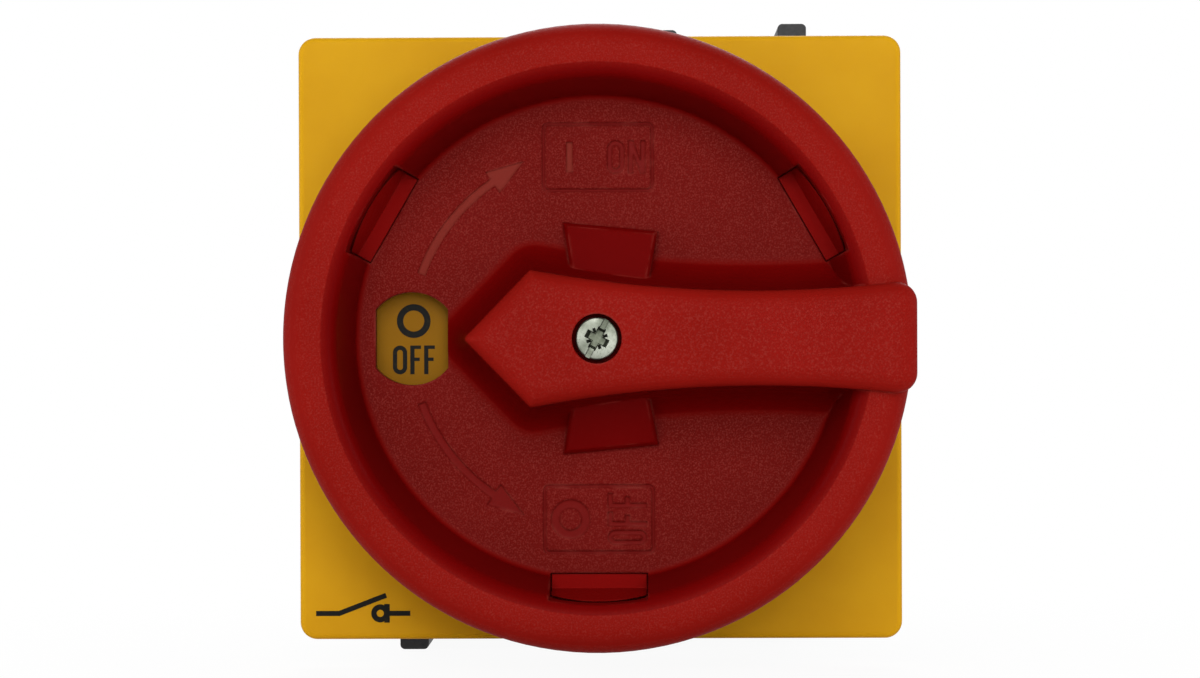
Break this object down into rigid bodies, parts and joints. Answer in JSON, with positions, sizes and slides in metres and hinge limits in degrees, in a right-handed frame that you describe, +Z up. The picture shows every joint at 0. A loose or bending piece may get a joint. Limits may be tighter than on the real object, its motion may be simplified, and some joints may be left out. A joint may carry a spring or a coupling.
{
  "type": "rotary isolator switch",
  "caption": "Panel-mounted rotary isolator switch: round red handle with arrow grip and padlock slides on a square yellow plate, with switching chambers and screw terminals behind the panel.",
  "frame": {"origin": "on the turning axis, at the back of the front plate, which lies on the panel's front", "axes": "-Y towards the operator, +Y into the panel, +Z up, +X right as the operator sees it"},
  "size_m": [0.0602, 0.073, 0.0658],
  "materials": {
    "red_plastic": "fine spark-eroded grain",
    "yellow_plastic": "smooth, slightly satin",
    "black_plastic": "glass-filled, dull",
    "pale_plastic": "smooth",
    "zinc_steel": "bright zinc plated",
    "spring_steel": "bright drawn",
    "copper": "bare copper, light tarnish",
    "brass": "turned",
    "rubber": "dull"
  },
  "bodies": {
    "base": {"front_plate": "yellow_plastic", "label_disc": "yellow_plastic", "plate_gasket": "rubber", "plate_screws": "zinc_steel", "shaft_seal": "rubber", "mounting_flange": "black_plastic", "flange_nuts": "zinc_steel", "detent_housing": "black_plastic", "detent_spring_1": "spring_steel", "detent_spring_2": "spring_steel", "chamber_front": "black_plastic", "chamber_rear": "black_plastic", "fixed_contact_front_right_top": "copper", "fixed_contact_front_right_bottom": "copper", "fixed_contact_front_left_top": "copper", "fixed_contact_front_left_bottom": "copper", "fixed_contact_rear_right_top": "copper", "fixed_contact_rear_right_bottom": "copper", "fixed_contact_rear_left_top": "copper", "fixed_contact_rear_left_bottom": "copper", "contact_spring_front_right": "spring_steel", "contact_spring_front_left": "spring_steel", "contact_spring_rear_right": "spring_steel", "contact_spring_rear_left": "spring_steel", "terminal_clamps_front": "zinc_steel", "terminal_clamps_rear": "zinc_steel", "terminal_screws_front": "zinc_steel", "terminal_screws_rear": "zinc_steel", "rear_cover": "black_plastic", "tie_bolts": "zinc_steel", "tie_nuts": "zinc_steel"},
    "handle": {"knob": "red_plastic", "handle_screw": "zinc_steel", "screw_washer": "zinc_steel", "drive_bush": "brass", "slide_retainer": "black_plastic", "shaft": "zinc_steel", "detent_wheel": "pale_plastic", "cam_front": "pale_plastic", "cam_rear": "pale_plastic", "lock_spring_1": "spring_steel", "lock_spring_2": "spring_steel", "lock_spring_3": "spring_steel"},
    "lock_1": {"lock_slide_1": "red_plastic"},
    "lock_2": {"lock_slide_2": "red_plastic"},
    "lock_3": {"lock_slide_3": "red_plastic"},
    "contact_front_right": {"plunger_front_right": "pale_plastic", "contact_bridge_front_right": "copper"},
    "contact_front_left": {"plunger_front_left": "pale_plastic", "contact_bridge_front_left": "copper"},
    "contact_rear_right": {"plunger_rear_right": "pale_plastic", "contact_bridge_rear_right": "copper"},
    "contact_rear_left": {"plunger_rear_left": "pale_plastic", "contact_bridge_rear_left": "copper"}
  },
  "joints": [
    {"name": "handle_turn", "type": "hinge", "parent": "base", "child": "handle", "pos_m": [0, 0, 0], "axis": [0, 1, 0], "range_deg": [0, 90], "deforming": ["detent_spring_1", "detent_spring_2"]},
    {"name": "lock_press_1", "type": "slide", "parent": "handle", "child": "lock_1", "axis": [0, 1, 0], "range_m": [0, 0.0052], "stiffness_N_per_m": 150, "springref_m": -0.003, "deforming": ["lock_spring_1"]},
    {"name": "lock_press_2", "type": "slide", "parent": "handle", "child": "lock_2", "axis": [0, 1, 0], "range_m": [0, 0.0052], "stiffness_N_per_m": 150, "springref_m": -0.003, "deforming": ["lock_spring_2"]},
    {"name": "lock_press_3", "type": "slide", "parent": "handle", "child": "lock_3", "axis": [0, 1, 0], "range_m": [0, 0.0052], "stiffness_N_per_m": 150, "springref_m": -0.003, "deforming": ["lock_spring_3"]},
    {"name": "contact_front_right_close", "type": "slide", "parent": "base", "child": "contact_front_right", "axis": [-1, 0, 0], "range_m": [0, 0.00251], "deforming": ["contact_spring_front_right"]},
    {"name": "contact_front_left_close", "type": "slide", "parent": "base", "child": "contact_front_left", "axis": [1, 0, 0], "range_m": [0, 0.00251], "deforming": ["contact_spring_front_left"]},
    {"name": "contact_rear_right_close", "type": "slide", "parent": "base", "child": "contact_rear_right", "axis": [-1, 0, 0], "range_m": [0, 0.00251], "deforming": ["contact_spring_rear_right"]},
    {"name": "contact_rear_left_close", "type": "slide", "parent": "base", "child": "contact_rear_left", "axis": [1, 0, 0], "range_m": [0, 0.00251], "deforming": ["contact_spring_rear_left"]}
  ],
  "couplings": [
    {"joint": "contact_front_right_close", "follows": "handle_turn", "m_per_rad": 0.0015915},
    {"joint": "contact_front_left_close", "follows": "handle_turn", "m_per_rad": 0.0015915},
    {"joint": "contact_rear_right_close", "follows": "handle_turn", "m_per_rad": 0.0015915},
    {"joint": "contact_rear_left_close", "follows": "handle_turn", "m_per_rad": 0.0015915}
  ]
}
